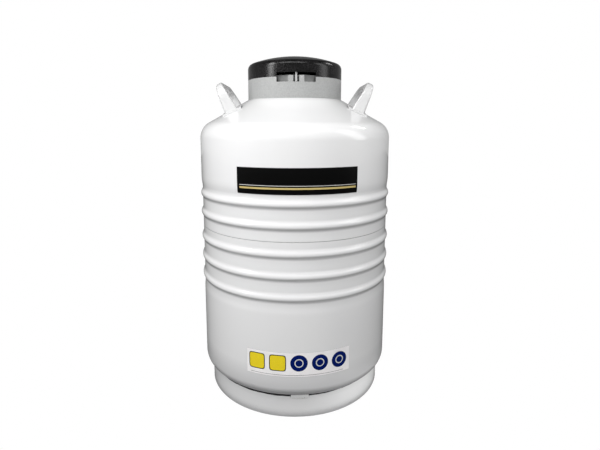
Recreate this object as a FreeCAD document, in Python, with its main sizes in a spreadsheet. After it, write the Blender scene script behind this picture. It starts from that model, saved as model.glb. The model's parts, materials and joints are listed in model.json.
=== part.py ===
import FreeCAD, Part
import math
import os
from collections import namedtuple

import Sketcher

# A storage vessel for liquid nitrogen: a ribbed, vacuum insulated aluminium vessel on a
# base ring, with two cast arch handles, a grey collar and a lift-off black lid whose foam
# plug closes the neck. Six canisters hang inside from rods hooked over the mouth.
# Millimetres. +Z is up, z = 0 is the underside of the base ring, the lock is at -Y, and
# the handles are at +X and -X.

SIZES = (
    ("body_radius", 184.0, "outside of the wall above the ribs"),
    ("waist_inset", 1.8, "how much smaller the wall is between the ribs"),
    ("lower_inset", 0.8, "how much smaller the wall is below the ribs"),
    ("waist_top_rise", 73.7, "how far above the seam the wall starts to widen"),
    ("waist_end_rise", 95.3, "how far above the seam it is at its full size again"),
    ("lower_start_drop", 127.7, "how far below the seam the lower wall starts to narrow"),
    ("lower_middle_drop", 118.7, "how far below the seam the middle of that narrowing lies"),
    ("waist_foot_drop", 109.7, "how far below the seam the wall between the ribs starts"),
    ("shell_wall", 2.5, "sheet thickness of the outer vessel"),
    ("body_foot", 42.4, "height of the flat rim of the bottom head"),
    ("foot_round", 19.0, "outside radius between wall and bottom head"),
    ("head_rim", 140.0, "radius where the bottom head starts to dish down"),
    ("head_drop", 12.0, "depth of the dish in the bottom head"),
    ("neck_seat_height", 576.585, "height of the flat seat at the top of the shoulder"),
    ("shoulder_slope", 29.3, "slope of the shoulder cone in degrees"),
    ("shoulder_round", 34.0, "outside radius between wall and shoulder"),
    ("neck_seat_radius", 60.0, "radius of the flat seat at the top of the shoulder"),
    ("rib_1_rise", 62.4, "how far the crest of the top rib lies above the seam"),
    ("rib_2_rise", 26.1, "how far the second crest lies above the seam"),
    ("rib_3_drop", 21.3, "how far the third crest lies below the seam"),
    ("rib_4_drop", 59.6, "how far the fourth crest lies below the seam"),
    ("rib_5_drop", 96.7, "how far the lowest crest lies below the seam"),
    ("rib_height", 3.4, "how far a rib stands out of the wall beside it"),
    ("rib_crest", 8.0, "radius of the crest of a rib"),
    ("rib_root", 10.0, "radius of the hollow at the root of a rib"),
    ("seam_height", 320.7, "height of the seam between the two shells"),
    ("seam_gap", 0.7, "open joint that shows at the seam"),
    ("seam_lap", 12.0, "length of the joggled lap inside the upper shell"),
    ("lap_clearance", 0.1, "clearance round the joggled lap"),
    ("base_inset", 14.0, "how much smaller the base ring is than the wall above the ribs"),
    ("base_wall", 3.0, "sheet thickness of the base ring"),
    ("base_flange", 25.0, "width of the flange under the bottom head"),
    ("base_foot_width", 10.0, "width of the foot rim that the vessel stands on"),
    ("base_round", 2.0, "edge rounding of the base ring"),
    ("clip_width", 31.0, "length of a base clip round the ring"),
    ("clip_drop", 5.2, "how far a base clip reaches down the base ring"),
    ("clip_rise", 0.7, "how far a base clip stands above the base ring"),
    ("clip_thickness", 1.8, "thickness of a base clip"),
    ("clip_azimuth", 3.0, "angle of the front clip from the front, in degrees"),
    ("clip_count", 3, "number of base clips"),
    ("seat_gap", 0.05, "clearance between curved faces that touch"),
    ("tank_radius", 138.0, "outside of the inner tank"),
    ("tank_wall", 2.0, "sheet thickness of the inner tank"),
    ("tank_floor", 72.0, "height of the underside of the inner tank"),
    ("tank_seam", 240.0, "height of the seam of the inner tank"),
    ("tank_corner", 420.0, "height where tank wall and top cone would meet"),
    ("tank_top", 452.0, "height of the flat seat on top of the tank"),
    ("tank_seat_radius", 44.0, "radius of the flat seat on top of the tank"),
    ("tank_mouth", 34.0, "radius of the hole in the top of the tank"),
    ("tank_round", 35.0, "outside corner radius of the inner tank"),
    ("tank_ring_height", 16.0, "height of the ring that holds the neck tube"),
    ("tank_ring_lift", 10.0, "how far that ring stands above the tank top"),
    ("neck_bore", 25.4, "inside radius of the neck tube"),
    ("neck_wall", 1.2, "wall of the neck tube"),
    ("glue_gap", 0.15, "glue line round the neck tube"),
    ("neck_flange_radius", 56.0, "outside of the neck flange"),
    ("neck_flange_height", 6.5, "thickness of the neck flange"),
    ("blanket_thickness", 20.0, "thickness of the wrapped insulation"),
    ("blanket_gap", 0.3, "clearance between insulation and tank"),
    ("cup_radius", 45.0, "outside of the sorbent cup"),
    ("cup_height", 12.0, "height of the sorbent cup"),
    ("cup_wall", 1.0, "wall of the sorbent cup"),
    ("port_radius", 8.0, "outside of the vacuum port tube"),
    ("port_wall", 1.5, "wall of the vacuum port tube"),
    ("port_low", 14.0, "lower end of the vacuum port tube"),
    ("port_inside", 4.0, "length of the port tube inside the head"),
    ("port_plug_length", 9.0, "length of the vacuum port plug"),
    ("port_cap_wall", 1.6, "wall of the vacuum port cap"),
    ("port_cap_height", 14.0, "height of the vacuum port cap"),
    ("collar_radius", 90.7, "outside of the collar and of the lid"),
    ("collar_wall", 3.0, "wall of the collar"),
    ("collar_top", 596.3, "height of the rim that the lid rests on"),
    ("rim_width", 3.7, "width of that rim"),
    ("spigot_height", 4.0, "how far the collar rises inside the lid"),
    ("spigot_inner", 72.0, "inside radius of the collar's upper ring"),
    ("deck_thickness", 3.0, "thickness of the deck inside the collar"),
    ("deck_bore", 27.2, "radius of the hole in the deck"),
    ("web_height", 584.2, "height of the web under the collar's solid ring"),
    ("lock_offset", 2.6, "how far the lock lies to the side of the middle"),
    ("pocket_width", 70.0, "width of the lock pocket"),
    ("pocket_floor", 587.5, "height of the floor of the lock pocket"),
    ("pocket_back", 76.0, "radius of the back wall of the lock pocket"),
    ("window_top", 603.9, "top of the lock window in the lid"),
    ("lug_width", 28.9, "width over both lock lugs"),
    ("lug_slot", 10.7, "width of the slot between the lugs"),
    ("lug_front", 87.0, "distance of the lugs' front face from the axis"),
    ("lug_top", 599.0, "height of the top of the lugs"),
    ("eye_radius", 3.2, "radius of the padlock eye"),
    ("eye_distance", 81.8, "distance of the padlock eye from the axis"),
    ("eye_height", 593.4, "height of the padlock eye"),
    ("screw_count", 6, "number of collar screws"),
    ("screw_circle", 50.0, "radius of the circle of collar screws"),
    ("screw_radius", 2.5, "shank radius of a collar screw"),
    ("screw_head_radius", 4.5, "head radius of a collar screw"),
    ("screw_head_height", 3.0, "head height of a collar screw"),
    ("screw_length", 8.5, "shank length of a collar screw"),
    ("screw_gap", 0.15, "clearance round a collar screw"),
    ("index_inner", 28.0, "inside radius of the index ring"),
    ("index_outer", 44.0, "outside radius of the index ring"),
    ("index_height", 7.0, "height of the index ring"),
    ("notch_depth", 3.0, "depth of a notch in the index ring"),
    ("notch_gap", 0.5, "clearance each side of a rod in its notch"),
    ("canister_count", 6, "number of canisters"),
    ("canister_start", 30.0, "angle of the first canister in degrees"),
    ("canister_radius", 19.0, "outside of a canister"),
    ("canister_wall", 1.0, "wall of a canister"),
    ("canister_height", 279.0, "height of a canister"),
    ("canister_circle", 42.5, "radius of the circle of canisters"),
    ("drain_radius", 3.0, "radius of the drain hole in a canister"),
    ("rod_radius", 1.5, "radius of a canister rod"),
    ("rod_overlap", 40.0, "length of rod beside its canister"),
    ("rod_bend", 5.0, "bend radius of a rod"),
    ("rod_reach", 53.0, "distance of the hooked end of a rod from the axis"),
    ("rod_hook_drop", 5.0, "how far the hooked end turns down"),
    ("locator_radius", 66.0, "outside of the canister locator"),
    ("locator_height", 12.0, "height of the canister locator"),
    ("locator_wall", 1.5, "sheet thickness of the canister locator"),
    ("locator_gap", 0.8, "clearance round a canister in the locator"),
    ("lid_apex", 641.0, "height of the middle of the lid"),
    ("lid_dome", 250.0, "outside radius of the lid's dome"),
    ("lid_wall", 3.2, "wall of the lid"),
    ("lid_round", 11.0, "outside radius between the lid's skirt and dome"),
    ("boss_radius", 16.0, "outside of the boss under the lid"),
    ("boss_bore", 12.0, "inside of the boss under the lid"),
    ("disc_radius", 36.0, "radius of the plug disc"),
    ("disc_low", 599.0, "underside of the plug disc"),
    ("disc_thickness", 4.0, "thickness of the plug disc"),
    ("plug_radius", 20.0, "radius of the foam neck plug"),
    ("plug_length", 126.0, "length of the foam neck plug"),
    ("lid_rib_count", 6, "number of ribs under the lid"),
    ("lid_rib_width", 2.4, "thickness of a rib under the lid"),
    ("lid_rib_low", 610.0, "lower edge of the ribs under the lid"),
    ("tongue_thickness", 3.3, "thickness of the lock tongue"),
    ("tongue_width", 10.4, "width of the lock tongue"),
    ("tongue_low", 588.0, "lower end of the lock tongue"),
    ("tongue_top", 614.0, "upper end of the lock tongue in its socket"),
    ("socket_low", 604.6, "underside of the tongue socket in the lid"),
    ("socket_height", 13.0, "height of the tongue socket"),
    ("socket_width", 12.0, "width of the tongue socket"),
    ("handle_distance", 116.0, "distance from the axis to the arch where it meets the shoulder"),
    ("handle_height", 49.3, "height of a handle square to the shoulder"),
    ("handle_span", 147.6, "length of a handle over its legs"),
    ("handle_leg", 11.0, "thickness of a handle's leg in the plane of the arch"),
    ("handle_bend", 30.4, "outside corner radius of the arch"),
    ("handle_near_foot", 8.4, "reach of a leg's foot from the arch plane towards the neck"),
    ("handle_near_top", 5.3, "reach of the grip from the arch plane towards the neck"),
    ("handle_far_foot", 18.6, "reach of a leg's foot from the arch plane outwards"),
    ("handle_far_top", 7.0, "reach of the grip from the arch plane outwards"),
    ("handle_edge", 3.6, "edge rounding of a handle"),
    ("handle_root", 24.0, "depth to which a leg is first made too long"),
    ("pad_thickness", 3.0, "thickness of a handle's foot pad"),
    ("pad_margin", 3.0, "how far a foot pad stands out past the front and back of its leg"),
    ("pad_near", 97.2, "distance of a foot pad's near edge from the middle plane"),
    ("pad_far", 130.6, "distance of a foot pad's far edge from the middle plane"),
    ("label_thickness", 0.3, "thickness of the stickers"),
    ("band_low_rise", 79.1, "how far above the seam the front band starts"),
    ("band_high_rise", 122.9, "how far above the seam the front band ends"),
    ("band_start", -31.4, "left end of the front band in degrees from the front"),
    ("band_sweep", 66.1, "angle that the front band covers"),
    ("strip_low", 84.4, "lower edge of the lower strip"),
    ("strip_high", 127.7, "upper edge of the lower strip"),
    ("strip_start", -26.9, "left end of the lower strip in degrees from the front"),
    ("strip_sweep", 58.4, "angle that the lower strip covers"),
)

doc = FreeCAD.newDocument("StorageVessel")
sheet = doc.addObject("Spreadsheet::Sheet", "Sizes")
for row, (name, number, meaning) in enumerate(SIZES, start=1):
    sheet.set(f"A{row}", meaning)
    sheet.set(f"B{row}", str(number))
    sheet.setAlias(f"B{row}", name)
doc.recompute()


class Size:
    """A number together with the cell formula that gives it."""

    def __init__(self, number, formula):
        self.number = number
        self.formula = formula

    def __add__(self, other):
        other = as_size(other)
        return Size(self.number + other.number, f"({self.formula} + {other.formula})")

    def __sub__(self, other):
        other = as_size(other)
        return Size(self.number - other.number, f"({self.formula} - {other.formula})")

    def __mul__(self, other):
        other = as_size(other)
        return Size(self.number * other.number, f"({self.formula} * {other.formula})")

    def __truediv__(self, other):
        other = as_size(other)
        return Size(self.number / other.number, f"({self.formula} / {other.formula})")

    def __neg__(self):
        return Size(-self.number, f"(-1 * {self.formula})")


def as_size(value):
    """A Size made of a plain number, or the Size itself."""
    return value if isinstance(value, Size) else Size(float(value), f"{value:g}")


def cell(name):
    """The Size held by a cell of the sheet."""
    return Size(float(sheet.get(name)), f"Sizes.{name}")


def root(value):
    return Size(math.sqrt(value.number), f"sqrt({value.formula})")


def sine(angle):
    return Size(math.sin(math.radians(angle.number)), f"sin({angle.formula})")


def cosine(angle):
    return Size(math.cos(math.radians(angle.number)), f"cos({angle.formula})")


def tangent(angle):
    return Size(math.tan(math.radians(angle.number)), f"tan({angle.formula})")


def count(name):
    """The whole number held by a cell."""
    return int(round(cell(name).number))


# An arc in an outline, between the corners before and after it. LEFT and RIGHT say on
# which side of the way along the outline its centre lies.
Bend = namedtuple("Bend", "radius side")
LEFT = 1
RIGHT = -1
ON_AXIS = as_size(0)


def bind(thing, path, size):
    """Ties a property of an object to the cells."""
    thing.setExpression(path, size.formula)


def new_body(label):
    body = doc.addObject("PartDesign::Body", label)
    body.Label = label
    return body


def origin_feature(body, role):
    for feature in body.Origin.OriginFeatures:
        if feature.Role == role:
            return feature
    raise ValueError(role)


def new_sketch(body, name, plane, offset=None):
    """A sketch on one of the body's own origin planes, moved along its normal."""
    sketch = body.newObject("Sketcher::SketchObject", name)
    sketch.AttachmentSupport = [(origin_feature(body, plane), "")]
    sketch.MapMode = "FlatFace"
    if offset is not None:
        bind(sketch, "AttachmentOffset.Base.z", offset)
    return sketch


def place_point(sketch, edge, end, x, y):
    """Fixes an end of an edge at x, y, measured from the sketch's origin."""
    if x is ON_AXIS:
        sketch.addConstraint(Sketcher.Constraint("PointOnObject", edge, end, -2))
    else:
        held = Sketcher.Constraint("DistanceX", -1, 1, edge, end, x.number)
        bind(sketch, f"Constraints[{sketch.addConstraint(held)}]", x)
    held = Sketcher.Constraint("DistanceY", -1, 1, edge, end, y.number)
    bind(sketch, f"Constraints[{sketch.addConstraint(held)}]", y)


def arc_between(start, finish, bend):
    """The short arc of a radius between two points, run anticlockwise."""
    chord = finish - start
    half = chord.Length / 2
    rise = math.sqrt(max(bend.radius.number ** 2 - half ** 2, 0.0))
    across = FreeCAD.Vector(-chord.y, chord.x, 0).normalize() * bend.side
    centre = (start + finish) / 2 + across * rise
    first, last = (start, finish) if bend.side == LEFT else (finish, start)
    angles = [math.atan2(p.y - centre.y, p.x - centre.x) for p in (first, last)]
    circle = Part.Circle(centre, FreeCAD.Vector(0, 0, 1), bend.radius.number)
    return Part.ArcOfCircle(circle, *angles)


def draw(sketch, outline, closed=True):
    """Draws lines and arcs through the corners of an outline and ties each to its sizes."""
    corners = []
    bends = []
    for item in outline:
        if isinstance(item, Bend):
            bends[-1] = item
        else:
            corners.append(tuple(as_size(value) if value is not ON_AXIS else value for value in item))
            bends.append(None)
    steps = len(corners) if closed else len(corners) - 1
    points = [FreeCAD.Vector(x.number, y.number, 0) for x, y in corners]
    ends = []
    for step in range(steps):
        start = points[step]
        finish = points[(step + 1) % len(points)]
        bend = bends[step]
        if bend is None:
            edge = sketch.addGeometry(Part.LineSegment(start, finish))
            ends.append((edge, 1, 2))
        else:
            edge = sketch.addGeometry(arc_between(start, finish, bend))
            ends.append((edge, 1, 2) if bend.side == LEFT else (edge, 2, 1))
    for step in range(steps):
        edge, near, far = ends[step]
        place_point(sketch, edge, near, *corners[step])
        if step + 1 < steps or closed:
            following, its_start, _ = ends[(step + 1) % steps]
            joined = Sketcher.Constraint("Coincident", edge, far, following, its_start)
            sketch.addConstraint(joined)
        else:
            place_point(sketch, edge, far, *corners[step + 1])
        if bends[step] is not None:
            held = Sketcher.Constraint("Radius", edge, bends[step].radius.number)
            bind(sketch, f"Constraints[{sketch.addConstraint(held)}]", bends[step].radius)


def draw_circle(sketch, x, y, radius):
    x, y = as_size(x), as_size(y)
    middle = FreeCAD.Vector(x.number, y.number, 0)
    edge = sketch.addGeometry(Part.Circle(middle, FreeCAD.Vector(0, 0, 1), radius.number))
    for kind, size in (("DistanceX", x), ("DistanceY", y)):
        held = Sketcher.Constraint(kind, -1, 1, edge, 3, size.number)
        bind(sketch, f"Constraints[{sketch.addConstraint(held)}]", size)
    held = Sketcher.Constraint("Radius", edge, radius.number)
    bind(sketch, f"Constraints[{sketch.addConstraint(held)}]", radius)


def rectangle(left, right, low, high):
    return [(left, low), (right, low), (right, high), (left, high)]


def turn(body, name, outline, angle=None):
    """Revolves an outline in the radius-height plane round the vertical axis."""
    sketch = new_sketch(body, f"{name}_profile", "XZ_Plane")
    draw(sketch, outline)
    feature = body.newObject("PartDesign::Revolution", name)
    feature.Profile = sketch
    feature.ReferenceAxis = (sketch, ["V_Axis"])
    feature.Angle = 360
    if angle is not None:
        bind(feature, "Angle", angle)
    body.Tip = feature
    return feature


def turned_body(label, outline, angle=None):
    body = new_body(label)
    turn(body, f"{label}_turn", outline, angle)
    return body


def pad(body, sketch, name, length, symmetric=False):
    feature = body.newObject("PartDesign::Pad", name)
    feature.Profile = sketch
    feature.SideType = "Symmetric" if symmetric else "One side"
    bind(feature, "Length", length)
    body.Tip = feature
    return feature


def pocket(body, sketch, name, length=None, symmetric=False, reverse=False):
    """Cuts a sketch out of a body, through everything where no length is given."""
    feature = body.newObject("PartDesign::Pocket", name)
    feature.Profile = sketch
    feature.SideType = "Symmetric" if symmetric else "One side"
    feature.Reversed = reverse
    if length is None:
        feature.Type = "ThroughAll"
    else:
        bind(feature, "Length", length)
    body.Tip = feature
    return feature


def repeat_round(body, feature, name, copies):
    """Repeats a feature evenly round the vertical axis."""
    pattern = body.newObject("PartDesign::PolarPattern", name)
    pattern.Originals = [feature]
    pattern.Axis = (origin_feature(body, "Z_Axis"), [""])
    pattern.Angle = 360
    bind(pattern, "Occurrences", copies)
    body.Tip = pattern
    return pattern


def round_edges(body, name, radius, chosen):
    """Rounds those edges of the body so far for which chosen(edge) is true."""
    doc.recompute()
    before = body.Tip
    edges = before.Shape.Edges
    names = [f"Edge{number}" for number, edge in enumerate(edges, start=1) if chosen(edge)]
    if not names:
        raise ValueError(f"{name}: no edge to round")
    feature = body.newObject("PartDesign::Fillet", name)
    feature.Base = (before, names)
    bind(feature, "Radius", radius)
    body.Tip = feature
    return feature


def ring_at(radius, height):
    """Picks circular edges round the vertical axis by their radius and height."""

    def chosen(edge):
        if edge.Degenerated or not isinstance(edge.Curve, Part.Circle):
            return False
        curve = edge.Curve
        level = abs(curve.Center.z - height.number) < 0.01
        return level and abs(curve.Radius - radius.number) < 0.01

    return chosen


def turn_body(body, degrees):
    """Turns a finished body about the vertical axis."""
    body.Placement = FreeCAD.Placement(FreeCAD.Vector(), FreeCAD.Rotation(FreeCAD.Vector(0, 0, 1), 10))
    bind(body, "Placement.Rotation.Angle", degrees)


# Heights and radii that several pieces share.
body_radius = cell("body_radius")
shell_wall = cell("shell_wall")
waist_radius = body_radius - cell("waist_inset")
lower_radius = body_radius - cell("lower_inset")
slope = cell("shoulder_slope")
seat_gap = cell("seat_gap")
collar_radius = cell("collar_radius")
base_radius = body_radius - cell("base_inset")
seam = cell("seam_height")
band_low = seam + cell("band_low_rise")
band_high = seam + cell("band_high_rise")
neck_seat = cell("neck_seat_height")


def shoulder_height(radius):
    """Height of the outside of the shoulder cone at a radius."""
    return neck_seat - (radius - cell("neck_seat_radius")) * tangent(slope)


shoulder_corner = shoulder_height(body_radius)
deck_low = neck_seat + cell("neck_flange_height")
deck_top = deck_low + cell("deck_thickness")
neck_outside = cell("neck_bore") + cell("neck_wall")
neck_hole = neck_outside + cell("glue_gap")
spigot_outer = collar_radius - cell("rim_width")
spigot_top = cell("collar_top") + cell("spigot_height")


def rib_outline(height, inset):
    """One rib of the wall, upwards, on a surface that lies inset inside the outer one."""
    crest = cell("rib_crest")
    hollow = cell("rib_root")
    rise = cell("rib_height")
    between = crest + hollow
    across = between - rise
    half = root(rise * (between * 2 - rise))
    share = (crest - inset) / between
    wall = waist_radius - inset
    meet = waist_radius + rise - crest + across * share
    return [
        (wall, height - half),
        Bend(hollow + inset, RIGHT),
        (meet, height - half * share),
        Bend(crest - inset, LEFT),
        (meet, height + half * share),
        Bend(hollow + inset, RIGHT),
        (wall, height + half),
    ]


def step_outline(low, middle, high, below, above, inset):
    """A smooth step of the wall, upwards, on a surface that lies inset inside the outer one."""
    way = 1 if above.number > below.number else -1
    rise = high - low
    step = (above - below) * way
    both = (rise * rise + step * step) / (step * 2)
    share = (middle - low) / rise
    lean = rise / both
    upright = as_size(1) - step / both
    across = below + (above - below) * share
    return [
        (below - inset, low),
        Bend(both * share + inset * way, -way),
        (across - inset * upright, middle + inset * lean * way),
        Bend(both * (as_size(1) - share) - inset * way, way),
        (above - inset, high),
    ]


def upper_step(inset):
    """The widening above the ribs, which passes the lower edge of the front band."""
    heights = (seam + cell("waist_top_rise"), band_low, seam + cell("waist_end_rise"))
    return step_outline(*heights, waist_radius, body_radius, inset)


def lower_step(inset):
    """The narrowing below the ribs."""
    start = seam - cell("lower_start_drop")
    middle = seam - cell("lower_middle_drop")
    end = seam - cell("waist_foot_drop")
    return step_outline(start, middle, end, lower_radius, waist_radius, inset)


def downwards(outline):
    """The same outline run the other way, with each arc's side swapped."""
    turned = []
    for item in reversed(outline):
        turned.append(Bend(item.radius, -item.side) if isinstance(item, Bend) else item)
    return turned


def make_upper_shell():
    """The upper half of the outer vessel: two ribs, the shoulder and the neck seat."""
    inside = body_radius - shell_wall
    lift = shell_wall / cosine(slope)
    corner = shoulder_corner
    inner_seat = neck_seat - shell_wall
    inner_corner = shoulder_height(inside) - lift
    inner_seat_radius = body_radius - (inner_seat + lift - corner) / tangent(slope)
    edge = seam + cell("seam_gap")
    outline = [(waist_radius, edge)]
    outline += rib_outline(seam + cell("rib_2_rise"), as_size(0))
    outline += rib_outline(seam + cell("rib_1_rise"), as_size(0))
    outline += upper_step(as_size(0))
    outline += [
        (body_radius, corner),
        (cell("neck_seat_radius"), neck_seat),
        (neck_hole, neck_seat),
        (neck_hole, inner_seat),
        (inner_seat_radius, inner_seat),
        (inside, inner_corner),
    ]
    outline += downwards(upper_step(shell_wall))
    outline += downwards(rib_outline(seam + cell("rib_1_rise"), shell_wall))
    outline += downwards(rib_outline(seam + cell("rib_2_rise"), shell_wall))
    outline += [(waist_radius - shell_wall, edge)]
    body = turned_body("outer_shell_upper", outline)
    bend = cell("shoulder_round")
    round_edges(body, "shoulder_outside", bend, ring_at(body_radius, corner))
    round_edges(body, "shoulder_inside", bend - shell_wall, ring_at(inside, inner_corner))
    return body


def make_lower_shell():
    """The lower half of the outer vessel: three ribs, the joggled lap and the bottom head."""
    inside = waist_radius - shell_wall
    low_inside = lower_radius - shell_wall
    lap = inside - cell("lap_clearance")
    foot = cell("body_foot")
    rim = cell("head_rim")
    hole = cell("port_radius") + seat_gap
    drop = cell("head_drop")
    dish = (rim * rim + drop * drop) / (drop * 2)
    dish_low = foot - drop + dish - root(dish * dish - hole * hole)
    dish_inside = dish - shell_wall
    rim_inside = rim - shell_wall * (rim / dish)
    centre = foot - drop + dish
    inner_rim = centre - root(dish_inside * dish_inside - rim_inside * rim_inside)
    inner_low = centre - root(dish_inside * dish_inside - hole * hole)
    outline = [(hole, dish_low), Bend(dish, LEFT), (rim, foot), (lower_radius, foot)]
    outline += lower_step(as_size(0))
    outline += rib_outline(seam - cell("rib_5_drop"), as_size(0))
    outline += rib_outline(seam - cell("rib_4_drop"), as_size(0))
    outline += rib_outline(seam - cell("rib_3_drop"), as_size(0))
    outline += [
        (waist_radius, seam),
        (lap, seam + cell("lap_clearance")),
        (lap, seam + cell("seam_lap")),
        (lap - shell_wall, seam + cell("seam_lap")),
        (lap - shell_wall, seam - shell_wall / 2),
        (inside, seam - shell_wall * 1.5),
    ]
    outline += downwards(rib_outline(seam - cell("rib_3_drop"), shell_wall))
    outline += downwards(rib_outline(seam - cell("rib_4_drop"), shell_wall))
    outline += downwards(rib_outline(seam - cell("rib_5_drop"), shell_wall))
    outline += downwards(lower_step(shell_wall))
    outline += [
        (low_inside, foot + shell_wall),
        (rim, foot + shell_wall),
        (rim_inside, inner_rim),
        Bend(dish_inside, RIGHT),
        (hole, inner_low),
    ]
    body = turned_body("outer_shell_lower", outline)
    bend = cell("foot_round")
    round_edges(body, "foot_outside", bend, ring_at(lower_radius, foot))
    round_edges(body, "foot_inside", bend - shell_wall, ring_at(low_inside, foot + shell_wall))
    return body


def make_base_ring():
    """The rolled ring that carries the vessel, flanged in under the bottom head."""
    outer = base_radius
    wall = cell("base_wall")
    top = cell("body_foot")
    outline = [
        (outer - cell("base_foot_width"), 0),
        (outer, 0),
        (outer, top),
        (outer - cell("base_flange"), top),
        (outer - cell("base_flange"), top - wall),
        (outer - wall, top - wall),
        (outer - wall, wall),
        (outer - cell("base_foot_width"), wall),
    ]
    body = turned_body("base_ring", outline)
    round_edges(body, "base_top_edge", cell("base_round"), ring_at(outer, top))
    return body


def make_base_clips():
    """Short curved clips that tie the base ring's top edge to the vessel."""
    inner = base_radius + seat_gap
    sweep = cell("clip_width") / inner * (180 / math.pi)
    foot = cell("body_foot")
    low = foot - cell("clip_drop")
    high = foot + cell("clip_rise")
    outline = rectangle(inner, inner + cell("clip_thickness"), low, high)
    clips = []
    for number in range(count("clip_count")):
        body = turned_body(f"base_clip_{number + 1}", outline, sweep)
        step = as_size(360 * number) / cell("clip_count")
        turn_body(body, cell("clip_azimuth") - 90 - sweep / 2 + step)
        clips.append(body)
    return clips


def make_tank():
    """The two halves of the inner tank, and the ring that holds the neck tube."""
    outer = cell("tank_radius")
    wall = cell("tank_wall")
    low = cell("tank_floor")
    seam = cell("tank_seam")
    top = cell("tank_top")
    corner = cell("tank_corner")
    seat = cell("tank_seat_radius")
    mouth = cell("tank_mouth")
    fall = (top - corner) / (outer - seat)
    lift = wall * root(fall * fall + 1)
    inner_corner = corner + fall * wall - lift
    inner_seat = seat - (lift - wall) / fall
    bend = cell("tank_round")
    lower = turned_body("inner_tank_lower", [
        (ON_AXIS, low),
        (outer, low),
        (outer, seam),
        (outer - wall, seam),
        (outer - wall, low + wall),
        (ON_AXIS, low + wall),
    ])
    round_edges(lower, "tank_floor_outside", bend, ring_at(outer, low))
    round_edges(lower, "tank_floor_inside", bend - wall, ring_at(outer - wall, low + wall))
    upper = turned_body("inner_tank_upper", [
        (outer, seam),
        (outer, corner),
        (seat, top),
        (mouth, top),
        (mouth, top - wall),
        (inner_seat, top - wall),
        (outer - wall, inner_corner),
        (outer - wall, seam),
    ])
    round_edges(upper, "tank_top_outside", bend, ring_at(outer, corner))
    round_edges(upper, "tank_top_inside", bend - wall, ring_at(outer - wall, inner_corner))
    ring_top = top + cell("tank_ring_lift")
    ring_low = ring_top - cell("tank_ring_height")
    flange = mouth + wall * 2
    ring = turned_body("tank_neck_ring", [
        (neck_hole, ring_low),
        (mouth - seat_gap, ring_low),
        (mouth - seat_gap, top),
        (flange, top),
        (flange, top + wall),
        (mouth - seat_gap, top + wall),
        (mouth - seat_gap, ring_top),
        (neck_hole, ring_top),
    ])
    return [lower, upper, ring]


def make_neck():
    """The thin neck tube and the flange that joins it to the outer vessel."""
    tube_low = cell("tank_top") + cell("tank_ring_lift") - cell("tank_ring_height")
    tube = turned_body("neck_tube", rectangle(cell("neck_bore"), neck_outside, tube_low, deck_top))
    flange = turned_body(
        "neck_flange",
        rectangle(neck_hole, cell("neck_flange_radius"), neck_seat, deck_low),
    )
    cut_screw_holes(flange, "flange_hole", neck_seat)
    return [tube, flange]


def cut_screw_holes(body, name, low):
    """A circle of screw holes from a height up through the rest of a body."""
    sketch = new_sketch(body, f"{name}_circle", "XY_Plane", low)
    draw_circle(sketch, cell("screw_circle"), 0, cell("screw_radius") + cell("screw_gap"))
    hole = pocket(body, sketch, name, deck_top - low, reverse=True)
    repeat_round(body, hole, f"{name}s", cell("screw_count"))


def make_collar_screws():
    """Pan head screws that hold the collar's deck to the neck flange."""
    circle = cell("screw_circle")
    radius = cell("screw_radius")
    head = cell("screw_head_radius")
    body = new_body("collar_screws")
    body.AllowCompound = True
    low = deck_top - cell("screw_length")
    shank_sketch = new_sketch(body, "screw_shank_circle", "XY_Plane", low)
    draw_circle(shank_sketch, circle, 0, radius)
    shank = pad(body, shank_sketch, "screw_shank", cell("screw_length"))
    head_sketch = new_sketch(body, "screw_head_circle", "XY_Plane", deck_top)
    draw_circle(head_sketch, circle, 0, head)
    top = pad(body, head_sketch, "screw_head", cell("screw_head_height"))
    pattern = repeat_round(body, shank, "screws_round", cell("screw_count"))
    pattern.Originals = [shank, top]
    return body


def make_insulation():
    """The wrapped insulation round the tank, and the sorbent under the tank in its cup."""
    gap = cell("blanket_gap")
    thick = cell("blanket_thickness")
    inner = cell("tank_radius") + gap
    outer = inner + thick
    low = cell("tank_floor") - gap
    cup_low = cell("tank_floor") - cell("cup_height")
    recess = cell("cup_radius") + gap
    fall = (cell("tank_top") - cell("tank_corner")) / (cell("tank_radius") - cell("tank_seat_radius"))
    lift = gap * root(fall * fall + 1)
    inner_corner = cell("tank_corner") - fall * gap + lift
    outer_corner = inner_corner + thick - fall * thick
    mouth = cell("tank_seat_radius")
    inner_mouth = inner_corner + fall * (inner - mouth)
    outer_mouth = outer_corner + fall * (outer - mouth)
    body = turned_body("insulation_blanket", [
        (ON_AXIS, low - thick),
        (outer, low - thick),
        (outer, outer_corner),
        (mouth, outer_mouth),
        (mouth, inner_mouth),
        (inner, inner_corner),
        (inner, low),
        (recess, low),
        (recess, cup_low - gap),
        (ON_AXIS, cup_low - gap),
    ])
    bend = cell("tank_round")
    round_edges(body, "blanket_top", bend + thick, ring_at(outer, outer_corner))
    round_edges(body, "blanket_foot", bend + thick, ring_at(outer, low - thick))
    round_edges(body, "blanket_inner_top", bend, ring_at(inner, inner_corner))
    round_edges(body, "blanket_inner_foot", bend, ring_at(inner, low))
    top = cell("tank_floor")
    wall = cell("cup_wall")
    radius = cell("cup_radius")
    cup = turned_body("sorbent_cup", [
        (ON_AXIS, cup_low),
        (radius, cup_low),
        (radius, top),
        (radius - wall, top),
        (radius - wall, cup_low + wall),
        (ON_AXIS, cup_low + wall),
    ])
    inset = wall + gap
    pack = turned_body("sorbent_pack", [
        (ON_AXIS, cup_low + wall),
        (radius - inset, cup_low + wall),
        (radius - inset, top - gap),
        (ON_AXIS, top - gap),
    ])
    return [body, cup, pack]


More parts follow.
